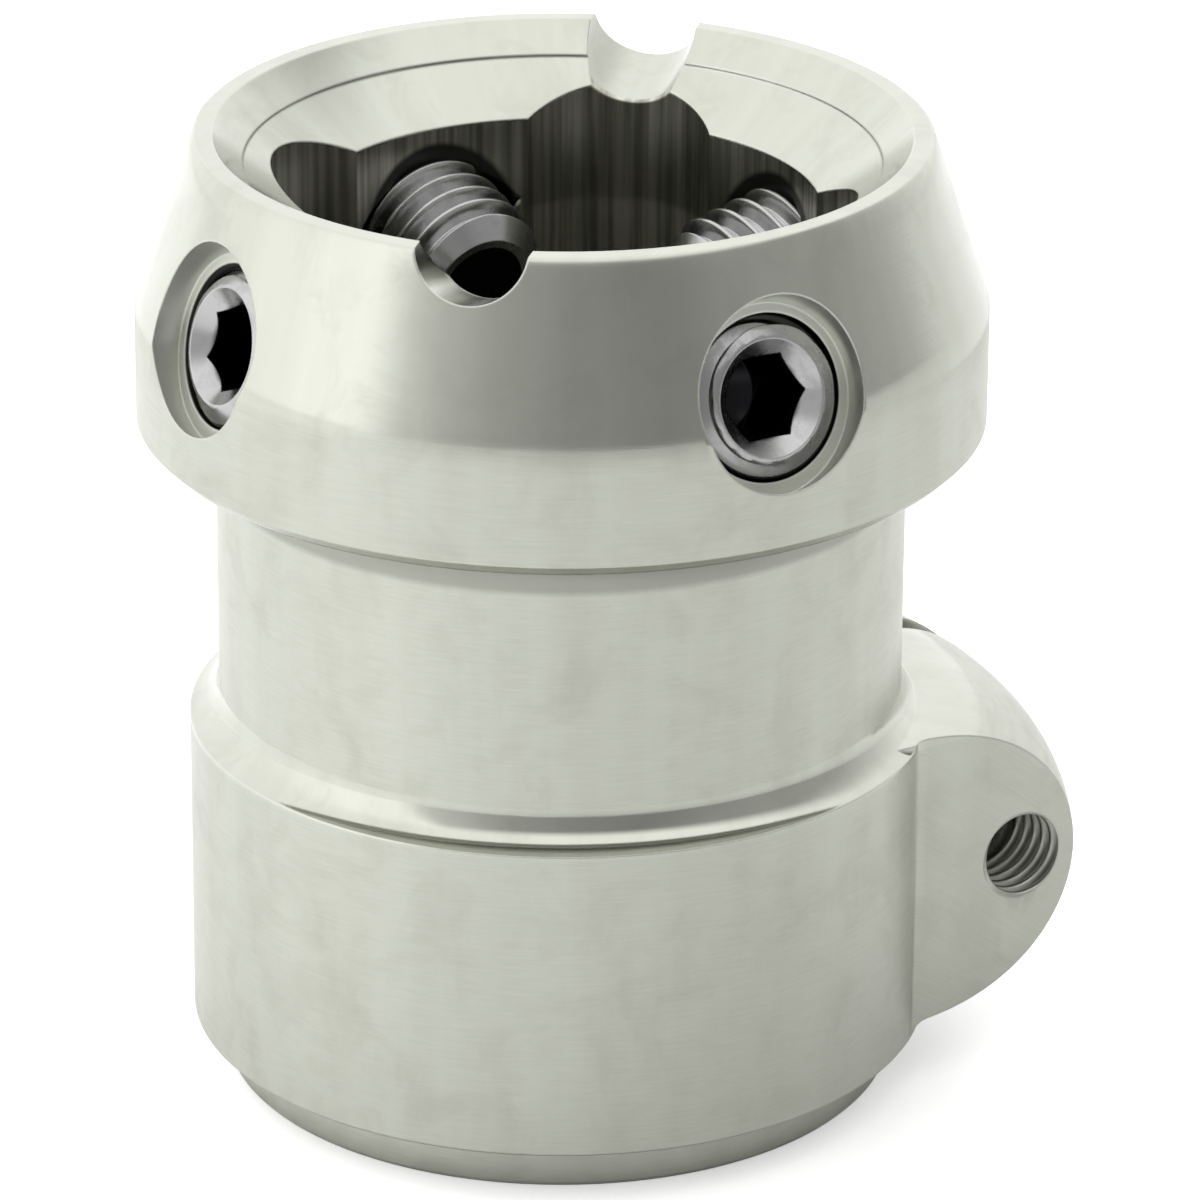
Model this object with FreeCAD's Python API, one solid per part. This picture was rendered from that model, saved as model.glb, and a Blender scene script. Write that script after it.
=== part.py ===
"""Tube clamp adapter with a four-screw pyramid receiver.

A machined metal body clamps a 30 mm tube below and holds a domed pyramid above. Four
socket set screws close on the pyramid, and one socket cap screw closes the split lug.

Millimetres, +Z up. The origin is the centre of the tube bore's mouth, on the base face.
+X runs through the middle of the split lug.
"""

import math
import os

import FreeCAD
import Part

V = FreeCAD.Vector

# ---- driving dimensions ----------------------------------------------------------------
HEIGHT = 50.2

# tube end: bore, foot ring and clamp wall
TUBE_R = 15.0
TUBE_DEPTH = 25.0
FOOT_R = 17.2
FOOT_H = 2.6
CLAMP_R = 19.0
CLAMP_TOP = 19.0
WAIST_R = 17.5
SHOULDER_R = 2.0
NECK_R = 2.4

# collar: straight band, cone and rim
COLLAR_R = 21.5
COLLAR_BOTTOM = 34.9
CONE_BOTTOM = 41.4
RIM_R = 18.6
RIM_INNER_R = 17.5
EDGE = 0.2
COLLAR_BEVEL = 0.6

# dished seat for the dome, turned in two passes that leave a fine step
SEAT_SPHERE_R = 24.5
STEP_R = 15.97
STEP_DROP = 0.15

# receiver cavity: round, with a lobe for each corner of the pyramid
CAVITY_R = 12.9
LOBE_R = 5.35
LOBE_CENTRE_R = 9.6
CAVITY_FLOOR = 31.0
WEB_HOLE_R = 9.0
NOTCH_R = 2.8
NOTCH_AXIS_R = 17.2
NOTCH_TILT = 15.0
NOTCH_ANGLES = (45.0, 225.0)

# set screws, M8 x 12, tipped down towards the axis
SET_TILT = 15.0
SET_END_R = 19.54
SET_END_Z = 42.44
SET_R = 4.0
SET_LENGTH = 12.0
SET_POINT_R = 2.75
SET_TIP_R = 3.0
SET_TIP_H = 0.5
SET_HEX = 4.0
SET_HEX_DEPTH = 5.0
SET_MOUTH_R = 2.9
SET_MOUTH_DEPTH = 0.9
SET_COUNTERBORE_R = 4.62
SET_COUNTERBORE_LEAN = 15.0
SET_COUNTERBORE_DEPTH = 0.45
SET_SIDES = {"right": 0.0, "rear": 90.0, "left": 180.0, "front": 270.0}
SET_SOCKET_TURNS = {"right": 12.0, "rear": 41.0, "left": 0.0, "front": 30.0}

# split lug: a ring section cut by two flats
LUG_RING_R = 18.65
LUG_SECTION_R = 8.0
LUG_Z = 11.4
LUG_HALF_WIDTH = 14.0
LUG_FILLET = 2.0
LUG_UNDER_R = 0.8
LUG_CORE_R = 16.0
SLOT_WIDTH = 2.0
SLOT_TOP = 23.5
SLOT_RELIEF_R = 1.5

# clamp screw, M5 x 16 socket cap, across the lug
CLAMP_X = 19.6
CLAMP_SHANK_R = 2.5
CLAMP_LENGTH = 16.0
CLAMP_SEAT_Y = 6.0
CLAMP_HEAD_R = 4.25
CLAMP_HEAD_H = 5.0
CLAMP_HEX = 4.0
CLAMP_HEX_DEPTH = 2.5
CLAMP_HOLE_R = 2.75
CLAMP_COUNTERBORE_R = 5.0

RUNNING_GAP = 0.05
THREAD_RELIEF = 0.5
BEYOND = 40.0


# ---- helpers ---------------------------------------------------------------------------
def polar(radius, degrees, z=0.0):
    """Point at a radius and an angle about the body's axis."""
    angle = math.radians(degrees)
    return V(radius * math.cos(angle), radius * math.sin(angle), z)


def arc_edge(start, centre, radius, end):
    """Circular edge in the XZ plane from start to end the short way round."""
    middle = (start + end) * 0.5 - centre
    middle.normalize()
    return Part.Arc(start, centre + middle * radius, end).toShape()


def turned(edges):
    """Solid of revolution about Z from a closed run of edges in the XZ plane."""
    face = Part.Face(Part.Wire(edges))
    return face.revolve(V(0, 0, 0), V(0, 0, 1), 360)


def turned_outline(points):
    """Solid of revolution about Z from straight runs between (radius, z) points."""
    corners = [V(r, 0, z) for r, z in points]
    return turned(Part.makePolygon(corners + corners[:1]).Edges)


def hexagon_prism(across_flats, depth):
    """Hexagonal prism that stands on the XY plane and rises along +Z."""
    corner_r = across_flats / math.sqrt(3.0)
    corners = [polar(corner_r, 60.0 * k) for k in range(7)]
    return Part.Face(Part.makePolygon(corners)).extrude(V(0, 0, depth))


def socket_cutter(across_flats, depth, mouth_r, mouth_depth):
    """Hex socket that goes down from z = 0, with a drilled cone at its foot."""
    flat_r = across_flats / 2.0
    hexagon = hexagon_prism(across_flats, depth)
    hexagon.translate(V(0, 0, -depth))
    drill_tip = Part.makeCone(0.0, flat_r, flat_r * 0.6, V(0, 0, -depth - flat_r * 0.6))
    mouth = Part.makeCone(mouth_r - mouth_depth, mouth_r, mouth_depth, V(0, 0, -mouth_depth))
    return hexagon.fuse([drill_tip, mouth])


def place_set_screw(shape, side_angle):
    """Move a shape from screw space, outer end at z = 0 and facing +Z, to its hole."""
    placed = shape.copy()
    placed.rotate(V(0, 0, 0), V(0, 1, 0), 90.0 - SET_TILT)
    placed.translate(V(SET_END_R, 0, SET_END_Z))
    placed.rotate(V(0, 0, 0), V(0, 0, 1), side_angle)
    return placed


def place_clamp_screw(shape):
    """Move a shape from screw space, head seat at z = 0 and head above, to the lug."""
    placed = shape.copy()
    placed.rotate(V(0, 0, 0), V(1, 0, 0), -90.0)
    placed.translate(V(CLAMP_X, CLAMP_SEAT_Y, LUG_Z))
    return placed


def whole(shape):
    """The single solid of a boolean's result."""
    solids = shape.removeSplitter().Solids
    if len(solids) != 1:
        raise ValueError("expected one solid, found %d" % len(solids))
    return solids[0]


# ---- body ------------------------------------------------------------------------------
def seat_centre_z():
    """Height of the seat sphere's centre, which puts its edge on the rim."""
    return HEIGHT + math.sqrt(SEAT_SPHERE_R**2 - RIM_INNER_R**2)


def body_blank():
    """The turned outside, solid down to the base."""
    shoulder_centre = V(WAIST_R + SHOULDER_R, 0, CLAMP_TOP + SHOULDER_R)
    drop = math.sqrt(SHOULDER_R**2 - (shoulder_centre.x - CLAMP_R) ** 2)
    clamp_edge = V(CLAMP_R, 0, shoulder_centre.z - drop)
    waist_low = V(WAIST_R, 0, shoulder_centre.z)
    neck_centre = V(WAIST_R + NECK_R, 0, COLLAR_BOTTOM - NECK_R)
    waist_high = V(WAIST_R, 0, neck_centre.z)
    neck_end = V(neck_centre.x, 0, COLLAR_BOTTOM)

    low = [V(0, 0, 0), V(FOOT_R - EDGE, 0, 0), V(FOOT_R, 0, EDGE), V(FOOT_R, 0, FOOT_H)]
    low += [V(CLAMP_R, 0, FOOT_H), clamp_edge]
    high = [neck_end, V(COLLAR_R - COLLAR_BEVEL, 0, COLLAR_BOTTOM)]
    high += [V(COLLAR_R, 0, COLLAR_BOTTOM + COLLAR_BEVEL), V(COLLAR_R, 0, CONE_BOTTOM)]
    high += [V(RIM_R, 0, HEIGHT - EDGE), V(RIM_R - EDGE, 0, HEIGHT), V(0, 0, HEIGHT)]
    edges = Part.makePolygon(low).Edges
    edges.append(arc_edge(clamp_edge, shoulder_centre, SHOULDER_R, waist_low))
    edges.append(Part.makeLine(waist_low, waist_high))
    edges.append(arc_edge(waist_high, neck_centre, NECK_R, neck_end))
    edges += Part.makePolygon(high + low[:1]).Edges
    return turned(edges)


def lug_blank():
    """Ring section that stands out of the clamp wall, between its two flats."""
    ring_centre = V(LUG_RING_R, 0, LUG_Z)
    reach = LUG_SECTION_R + LUG_UNDER_R
    under_x = CLAMP_R + LUG_UNDER_R
    under_z = LUG_Z - math.sqrt(reach**2 - (under_x - LUG_RING_R) ** 2)
    under_centre = V(under_x, 0, under_z)
    wall_end = V(CLAMP_R, 0, under_z)
    under_end = ring_centre + (under_centre - ring_centre) * (LUG_SECTION_R / reach)
    ring_side = V(LUG_RING_R + LUG_SECTION_R, 0, LUG_Z)
    ring_top = V(LUG_RING_R, 0, LUG_Z + LUG_SECTION_R)
    inner = [ring_top, V(LUG_CORE_R, 0, ring_top.z), V(LUG_CORE_R, 0, under_z), wall_end]
    section = [
        arc_edge(wall_end, under_centre, LUG_UNDER_R, under_end),
        arc_edge(under_end, ring_centre, LUG_SECTION_R, ring_side),
        arc_edge(ring_side, ring_centre, LUG_SECTION_R, ring_top),
    ]
    envelope = turned(section + Part.makePolygon(inner).Edges)

    blend_y = LUG_HALF_WIDTH + LUG_FILLET
    blend_x = math.sqrt((CLAMP_R + LUG_FILLET) ** 2 - blend_y**2)
    plan = []
    for side in (1, -1):
        centre = V(blend_x, side * blend_y, 0)
        on_flat = V(blend_x, side * LUG_HALF_WIDTH, 0)
        on_wall = centre * (CLAMP_R / (CLAMP_R + LUG_FILLET))
        plan.append((on_flat, arc_edge(on_flat, centre, LUG_FILLET, on_wall), on_wall))
    (flat_a, blend_a, wall_a), (flat_b, blend_b, wall_b) = plan
    outline = [
        blend_a,
        Part.makeLine(wall_a, wall_b),
        blend_b,
        Part.makeLine(flat_b, V(BEYOND, -LUG_HALF_WIDTH, 0)),
        Part.makeLine(V(BEYOND, -LUG_HALF_WIDTH, 0), V(BEYOND, LUG_HALF_WIDTH, 0)),
        Part.makeLine(V(BEYOND, LUG_HALF_WIDTH, 0), flat_a),
    ]
    column = Part.Face(Part.Wire(Part.__sortEdges__(outline))).extrude(V(0, 0, BEYOND))
    return envelope.common(column)


def seat_cutter():
    """Dished seat: an outer band and, inside the fine step, a slightly deeper dish."""
    centre_z = seat_centre_z()
    outer = Part.makeSphere(SEAT_SPHERE_R, V(0, 0, centre_z))
    inner = Part.makeSphere(SEAT_SPHERE_R, V(0, 0, centre_z - STEP_DROP))
    column = Part.makeCylinder(STEP_R, BEYOND, V(0, 0, CAVITY_FLOOR))
    return outer.fuse(inner.common(column))


def cavity_cutter():
    """Receiver cavity with its corner lobes, the web hole and the tube bore."""
    depth = HEIGHT - CAVITY_FLOOR
    cutters = [Part.makeCylinder(CAVITY_R, depth, V(0, 0, CAVITY_FLOOR))]
    for corner in range(4):
        centre = polar(LOBE_CENTRE_R, 45.0 + 90.0 * corner, CAVITY_FLOOR)
        cutters.append(Part.makeCylinder(LOBE_R, depth, centre))
    cutters.append(Part.makeCylinder(WEB_HOLE_R, CAVITY_FLOOR))
    cutters.append(Part.makeCylinder(TUBE_R, TUBE_DEPTH))
    cutters.append(Part.makeCone(TUBE_R + 2 * EDGE, TUBE_R, 2 * EDGE))
    return cutters


def notch_cutter(angle):
    """Half-round groove across the rim, tipped down towards the axis."""
    tilt = math.radians(NOTCH_TILT)
    outward = polar(math.cos(tilt), angle, math.sin(tilt))
    start = polar(NOTCH_AXIS_R, angle, HEIGHT) - outward * (NOTCH_AXIS_R - LOBE_CENTRE_R)
    return Part.makeCylinder(NOTCH_R, BEYOND, start, outward)


def set_hole_cutter(side_angle):
    """Tapped hole of a set screw with its steeper counterbore and its two chamfers."""
    hole_r = SET_R + RUNNING_GAP
    wall_depth = (SET_END_R - CAVITY_R) / math.cos(math.radians(SET_TILT))
    hole = Part.makeCylinder(hole_r, SET_LENGTH, V(0, 0, -SET_LENGTH))
    counterbore = Part.makeCylinder(SET_COUNTERBORE_R, BEYOND, V(0, 0, -SET_LENGTH))
    counterbore.rotate(V(0, 0, 0), V(0, 1, 0), -SET_COUNTERBORE_LEAN)
    above = V(-BEYOND / 2, -BEYOND / 2, -SET_COUNTERBORE_DEPTH)
    counterbore = counterbore.common(Part.makeBox(BEYOND, BEYOND, BEYOND, above))
    lead_foot = V(0, 0, -SET_COUNTERBORE_DEPTH - EDGE)
    outer_lead = Part.makeCone(hole_r, hole_r + EDGE, EDGE, lead_foot)
    inner_depth = wall_depth - THREAD_RELIEF
    inner_lead = Part.makeCone(
        hole_r + 2 * THREAD_RELIEF, hole_r, 2 * THREAD_RELIEF, V(0, 0, -inner_depth - THREAD_RELIEF)
    )
    cutter = hole.fuse([counterbore, outer_lead, inner_lead])
    return place_set_screw(cutter, side_angle)


def slot_cutter():
    """Saw cut that splits the lug and the clamp wall, with its relief hole."""
    saw = Part.makeBox(BEYOND, SLOT_WIDTH, SLOT_TOP, V(0, -SLOT_WIDTH / 2.0, 0))
    relief = Part.makeCylinder(SLOT_RELIEF_R, BEYOND, V(0, 0, SLOT_TOP), V(1, 0, 0))
    return [saw, relief]


def clamp_hole_cutter():
    """Counterbore, clearance hole and tapped hole of the clamp screw."""
    counterbore = Part.makeCylinder(CLAMP_COUNTERBORE_R, BEYOND)
    clearance = Part.makeCylinder(CLAMP_HOLE_R, CLAMP_SEAT_Y, V(0, 0, -CLAMP_SEAT_Y))
    tapped = Part.makeCylinder(CLAMP_SHANK_R + RUNNING_GAP, BEYOND, V(0, 0, -BEYOND))
    return place_clamp_screw(counterbore.fuse([clearance, tapped]))


def housing():
    """The machined body."""
    blank = whole(body_blank().fuse(lug_blank()))
    cutters = [seat_cutter()] + cavity_cutter() + slot_cutter() + [clamp_hole_cutter()]
    cutters += [notch_cutter(angle) for angle in NOTCH_ANGLES]
    cutters += [set_hole_cutter(angle) for angle in SET_SIDES.values()]
    return whole(blank.cut(cutters))


# ---- screws ----------------------------------------------------------------------------
def set_screw(socket_turn):
    """Set screw with its socket end at z = 0 and its flat point below."""
    point = SET_R - SET_POINT_R
    stud = turned_outline([
        (0.0, 0.0),
        (SET_TIP_R, 0.0),
        (SET_R, -SET_TIP_H),
        (SET_R, -SET_LENGTH + point),
        (SET_POINT_R, -SET_LENGTH),
        (0.0, -SET_LENGTH),
    ])
    socket = socket_cutter(SET_HEX, SET_HEX_DEPTH, SET_MOUTH_R, SET_MOUTH_DEPTH)
    socket.rotate(V(0, 0, 0), V(0, 0, 1), socket_turn)
    return whole(stud.cut(socket))


def clamp_screw():
    """Socket cap screw with the underside of its head at z = 0."""
    stud = turned_outline([
        (0.0, CLAMP_HEAD_H),
        (CLAMP_HEAD_R - 2 * EDGE, CLAMP_HEAD_H),
        (CLAMP_HEAD_R, CLAMP_HEAD_H - 2 * EDGE),
        (CLAMP_HEAD_R, 0.0),
        (CLAMP_SHANK_R, 0.0),
        (CLAMP_SHANK_R, -CLAMP_LENGTH + THREAD_RELIEF),
        (CLAMP_SHANK_R - THREAD_RELIEF, -CLAMP_LENGTH),
        (0.0, -CLAMP_LENGTH),
    ])
    mouth_r = CLAMP_HEX / math.sqrt(3.0) + EDGE
    socket = socket_cutter(CLAMP_HEX, CLAMP_HEX_DEPTH, mouth_r, 2 * EDGE)
    socket.translate(V(0, 0, CLAMP_HEAD_H))
    return whole(stud.cut(socket))


# ---- nodes -----------------------------------------------------------------------------
def main():
    os.makedirs("parts", exist_ok=True)
    nodes = {"housing": housing(), "clamp_screw": place_clamp_screw(clamp_screw())}
    for side, angle in SET_SIDES.items():
        nodes["set_screw_" + side] = place_set_screw(set_screw(SET_SOCKET_TURNS[side]), angle)
    for name, shape in nodes.items():
        shape.exportStep("parts/%s.step" % name)
        print(name, "valid", shape.isValid(), "volume %.1f mm3" % shape.Volume, shape.BoundBox)


main()
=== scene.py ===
"""Looks of a tube clamp adapter: a turned body with real tapped holes, four set screws and a clamp screw.

Metres, +Z up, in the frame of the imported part. +X runs through the split lug.
"""

import math

import bmesh
import bpy
from bpy.props import FloatProperty, FloatVectorProperty, IntProperty, PointerProperty
from mathutils import Matrix, Vector


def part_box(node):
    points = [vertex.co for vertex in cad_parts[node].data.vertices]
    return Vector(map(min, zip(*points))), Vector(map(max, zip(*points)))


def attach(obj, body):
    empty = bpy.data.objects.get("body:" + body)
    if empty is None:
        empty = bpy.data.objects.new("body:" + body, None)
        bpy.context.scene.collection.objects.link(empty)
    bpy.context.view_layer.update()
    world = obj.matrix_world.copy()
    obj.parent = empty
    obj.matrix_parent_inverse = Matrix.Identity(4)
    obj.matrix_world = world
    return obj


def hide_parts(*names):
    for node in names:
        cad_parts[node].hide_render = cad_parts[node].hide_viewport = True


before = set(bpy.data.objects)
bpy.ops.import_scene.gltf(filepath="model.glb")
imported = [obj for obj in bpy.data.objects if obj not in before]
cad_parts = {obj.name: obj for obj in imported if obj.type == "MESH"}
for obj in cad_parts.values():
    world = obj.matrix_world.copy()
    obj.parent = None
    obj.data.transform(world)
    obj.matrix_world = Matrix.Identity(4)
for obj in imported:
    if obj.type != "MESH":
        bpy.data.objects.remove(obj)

bl_info = {
    "name": "Tube Clamp Adapter",
    "version": (1, 0, 0),
    "blender": (4, 5, 0),
    "location": "3D View > Sidebar > Adapter",
    "description": "Builds the detailed body and screws of a tube clamp adapter",
    "category": "Object",
}

MM = 0.001
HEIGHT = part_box("housing")[1].z
SET_SIDES = {"right": 0.0, "rear": 90.0, "left": 180.0, "front": 270.0}
SOCKET_TURNS = {"right": 12.0, "rear": 41.0, "left": 0.0, "front": 30.0}
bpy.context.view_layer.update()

# brightness of the tent's walls by the angle from the camera's side, growing towards its right
TENT_SIDES = (
    (-180, 0.82), (-110, 0.86), (-70, 1.0), (-52, 1.0), (-42, 0.55), (-20, 0.34), (0, 0.25),
    (30, 0.2), (55, 0.28), (95, 0.32), (115, 0.48), (140, 0.75), (180, 0.82),
)


def length(name, description, default):
    """A length property, with its default given in millimetres."""
    return FloatProperty(
        name=name, description=description, default=default * MM, unit="LENGTH", precision=5
    )


def angle(name, description, default):
    """An angle property, with its default given in degrees."""
    return FloatProperty(
        name=name, description=description, default=math.radians(default), unit="ROTATION"
    )


def factor(name, description, default):
    """A plain share from 0 to 1."""
    return FloatProperty(
        name=name, description=description, default=default, subtype="FACTOR", min=0, max=1
    )


def colour(name, description, default):
    """A linear colour with no alpha."""
    return FloatVectorProperty(
        name=name, description=description, default=default, subtype="COLOR", size=3, min=0, max=1
    )


# ---- sizes a user would change ---------------------------------------------------------
class BodySizes(bpy.types.PropertyGroup):
    """Sizes of the turned body"""

    tube_radius: length("Tube radius", "Radius of the clamped tube's bore", 15.0)
    tube_depth: length("Tube depth", "Depth of the tube bore", 25.0)
    foot_radius: length("Foot radius", "Outside radius of the foot ring", 17.2)
    foot_height: length("Foot height", "Height of the foot ring", 2.6)
    clamp_radius: length("Clamp radius", "Outside radius of the clamp wall", 19.0)
    clamp_top: length("Clamp top", "Height at which the shoulder leaves the clamp wall", 19.0)
    waist_radius: length("Waist radius", "Outside radius of the waist", 17.5)
    shoulder_radius: length("Shoulder radius", "Hollow radius above the clamp wall", 2.0)
    neck_radius: length("Neck radius", "Hollow radius under the collar", 2.4)
    collar_radius: length("Collar radius", "Outside radius of the collar", 21.5)
    collar_bottom: length("Collar bottom", "Height of the collar's underside", 34.9)
    collar_bevel: length("Collar bevel", "Bevel of the collar's lower edge", 0.6)
    cone_bottom: length("Cone bottom", "Height at which the collar starts to taper", 41.4)
    rim_radius: length("Rim radius", "Outside radius of the rim", 18.6)
    rim_inner: length("Rim inner radius", "Radius at which the dished seat starts", 17.5)
    edge: length("Edge break", "Size of the small edge breaks", 0.2)
    seat_radius: length("Seat radius", "Sphere radius of the dished seat", 24.5)
    step_radius: length("Step radius", "Radius of the fine step in the seat", 15.97)
    step_drop: length("Step drop", "Depth of the fine step in the seat", 0.15)
    cavity_radius: length("Cavity radius", "Radius of the receiver cavity", 12.9)
    cavity_floor: length("Cavity floor", "Height of the cavity's floor", 31.0)
    lobe_radius: length("Lobe radius", "Radius of each corner lobe", 5.35)
    lobe_centre: length("Lobe centre", "Distance of a lobe's centre from the axis", 9.6)
    web_radius: length("Web hole radius", "Radius of the hole through the web", 9.0)
    notch_radius: length("Notch radius", "Radius of the two notches in the rim", 2.8)
    notch_place: length("Notch place", "Distance at which a notch's axis crosses the rim plane", 17.2)
    notch_tilt: angle("Notch tilt", "Slope of the notches towards the axis", 15.0)
    segments: IntProperty(name="Segments", description="Steps round the body", default=288, min=24)


class LugSizes(bpy.types.PropertyGroup):
    """Sizes of the split lug"""

    ring_radius: length("Ring radius", "Radius of the lug ring's middle line", 18.65)
    section_radius: length("Section radius", "Radius of the lug ring's section", 8.0)
    height: length("Height", "Height of the lug ring's middle line", 11.4)
    half_width: length("Half width", "Distance from the split to each flat", 14.0)
    fillet: length("Fillet", "Hollow radius between a flat and the clamp wall", 2.0)
    under: length("Under radius", "Hollow radius between the ring's underside and the wall", 0.8)
    core: length("Core", "Radius at which the lug ring ends inside the wall", 16.0)
    slot_width: length("Slot width", "Width of the saw cut", 2.0)
    slot_top: length("Slot top", "Height of the saw cut", 23.5)
    relief_radius: length("Relief radius", "Radius of the hole that ends the saw cut", 1.5)


class SetScrewSizes(bpy.types.PropertyGroup):
    """Sizes of the four set screws and their holes"""

    tilt: angle("Tilt", "Slope of the screws towards the axis", 15.0)
    end_radius: length("End radius", "Distance of the socket end from the axis", 19.54)
    end_height: length("End height", "Height of the socket end's centre", 42.44)
    crest: length("Crest radius", "Radius of the thread's crest", 4.0)
    root: length("Root radius", "Radius of the thread's root", 3.23)
    pitch: length("Pitch", "Advance of the thread in one turn", 1.25)
    total: length("Length", "Length of the screw", 12.0)
    point: length("Point radius", "Radius of the flat point", 2.75)
    tip_radius: length("Tip radius", "Radius of the flat at the socket end", 3.0)
    tip_height: length("Tip height", "Height of the bevelled ring at the socket end", 0.5)
    hex_size: length("Hex size", "Socket width across its flats", 4.0)
    hex_depth: length("Hex depth", "Depth of the socket", 5.0)
    mouth_radius: length("Mouth radius", "Radius of the bevel round the socket", 2.9)
    counterbore: length("Counterbore radius", "Radius of the counterbore round the screw", 4.62)
    lean: angle("Counterbore lean", "Extra slope of the counterbore's wall", 15.0)
    floor: length("Counterbore depth", "Depth of the counterbore's floor below the screw's end", 0.45)


class ClampScrewSizes(bpy.types.PropertyGroup):
    """Sizes of the clamp screw and its holes"""

    offset: length("Offset", "Distance of the screw from the body's axis", 19.6)
    seat: length("Seat", "Distance of the head's seat from the split", 6.0)
    crest: length("Crest radius", "Radius of the thread's crest", 2.5)
    root: length("Root radius", "Radius of the thread's root", 2.01)
    pitch: length("Pitch", "Advance of the thread in one turn", 0.8)
    total: length("Length", "Length under the head", 16.0)
    head_radius: length("Head radius", "Radius of the head", 4.25)
    head_height: length("Head height", "Height of the head", 5.0)
    hex_size: length("Hex size", "Socket width across its flats", 4.0)
    hex_depth: length("Hex depth", "Depth of the socket", 2.5)
    clearance: length("Clearance radius", "Radius of the clearance hole", 2.75)
    counterbore: length("Counterbore radius", "Radius of the counterbore", 5.0)
    knurls: IntProperty(name="Knurls", description="Grooves round the head", default=60, min=3)


class Finishes(bpy.types.PropertyGroup):
    """Colours and finishes of the metals"""

    metal: colour("Body metal", "Colour of the turned body", (0.475, 0.487, 0.43))
    stain: colour("Stain", "Colour of the faint smudges on the body", (0.27, 0.255, 0.22))
    edge: colour("Edge", "Colour of the body's worn edges", (0.62, 0.63, 0.58))
    counterbore: colour("Counterbore", "Colour of the milled counterbores", (0.68, 0.69, 0.64))
    # neck is a painted shade colour for the upper part of the hollow under the collar
    neck: colour("Neck", "Colour of the hollow under the collar", (0.25, 0.255, 0.225))
    recess: colour("Recess", "Colour of the cavity's walls", (0.55, 0.55, 0.47))
    recess_line: colour("Recess line", "Colour of the tool marks in the cavity", (0.22, 0.22, 0.19))
    # hole is a painted shade colour inside the tapped holes and in a ring round each set screw in the
    # cavity
    hole: colour("Hole", "Colour inside the tapped holes", (0.05, 0.05, 0.045))
    steel: colour("Screw steel", "Colour of the screws", (0.40, 0.40, 0.40))
    steel_stain: colour("Screw stain", "Colour of the smudges on the screws", (0.2, 0.2, 0.21))
    steel_edge: colour("Screw edge", "Colour of the screws' worn edges", (0.6, 0.6, 0.6))
    # gap is a painted shade colour inside the sockets and on the set screws' crests in the gap round them
    gap: colour("Gap", "Colour inside the sockets and round the set screws", (0.02, 0.02, 0.022))
    satin: factor("Satin roughness", "Roughness of the satin turned bands", 0.31)
    polish: factor("Polished roughness", "Roughness of the polished cone and seat", 0.16)
    shoulder: factor("Shoulder roughness", "Roughness of the hollow above the clamp wall", 0.1)
    collar_hollow: factor("Neck roughness", "Roughness of the hollow under the collar", 0.12)
    smudges: factor("Smudges", "Strength of the smudges on the body", 0.22)
    streaks: factor("Streaks", "Strength of the upright streaks on the body", 0.36)
    brushing: factor("Brushing", "Strength of the turning marks on the satin bands", 0.35)


class Studio(bpy.types.PropertyGroup):
    """Camera, light and floor"""

    azimuth: angle("Azimuth", "Camera's angle round the part", -31.53)
    elevation: angle("Elevation", "Camera's angle above the horizon", 22.88)
    roll: angle("Roll", "Camera's turn about its own line of sight", 0.44)
    distance: length("Distance", "Camera's distance from its target", 383.6)
    aside: length("Aside", "Distance of the target to the camera's right of the axis", 2.02)
    height: length("Height", "Height of the camera's target", 24.8)
    lens: length("Lens", "Camera's focal length", 225.0)
    brightness: FloatProperty(name="Brightness", description="Brightness of the tent", default=1.9, min=0)
    zenith: factor("Zenith", "Brightness overhead, as a share of the tent's", 0.85)
    key_size: length("Key size", "Width of the key softbox", 400.0)
    key_power: FloatProperty(
        name="Key power", description="Power of the key softbox", default=2.2, unit="POWER"
    )
    floor: colour("Floor", "Colour of the plain floor", (0.95, 0.955, 0.95))
    # floor dimming is painted shade on the floor; floor lift is a painted glow of the floor where it is
    # seen directly
    floor_dim: factor("Floor dimming", "How far the floor darkens towards the right", 0.13)
    floor_lift: factor("Floor lift", "Light added to the floor where it is seen directly", 0.42)


GROUPS = {
    "adapter_body": BodySizes,
    "adapter_lug": LugSizes,
    "adapter_set": SetScrewSizes,
    "adapter_clamp": ClampScrewSizes,
    "adapter_finish": Finishes,
    "adapter_studio": Studio,
}


# ---- mesh helpers ----------------------------------------------------------------------
def arc(centre, radius, start, end, steps):
    """Points on an arc in the (r, z) plane, from start to end in degrees."""
    turn = [math.radians(start + (end - start) * k / steps) for k in range(steps + 1)]
    return [(centre[0] + radius * math.cos(t), centre[1] + radius * math.sin(t)) for t in turn]


def spread(points, longest):
    """The outline with its long runs divided, so that no face is much longer than its neighbours."""
    out = []
    for (r0, z0), (r1, z1) in zip(points, points[1:]):
        count = max(1, math.ceil(math.hypot(r1 - r0, z1 - z0) / longest))
        out += [(r0 + (r1 - r0) * k / count, z0 + (z1 - z0) * k / count) for k in range(count)]
    return out + [points[-1]]


def new_object(name, mesh):
    """An object at the origin that holds the mesh."""
    made = bpy.data.objects.new(name, mesh)
    bpy.context.scene.collection.objects.link(made)
    return made


def remove(*objects):
    """Deletes helper objects and their meshes."""
    for spare in objects:
        mesh = spare.data
        bpy.data.objects.remove(spare)
        bpy.data.meshes.remove(mesh)


def finish_bmesh(bm, name, matrix=None):
    """Closes a bmesh into an object, with its faces pointing outwards."""
    bmesh.ops.remove_doubles(bm, verts=bm.verts, dist=1e-7)
    bmesh.ops.recalc_face_normals(bm, faces=bm.faces)
    mesh = bpy.data.meshes.new(name)
    bm.to_mesh(mesh)
    bm.free()
    if matrix is not None:
        mesh.transform(matrix)
    return new_object(name, mesh)


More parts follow.
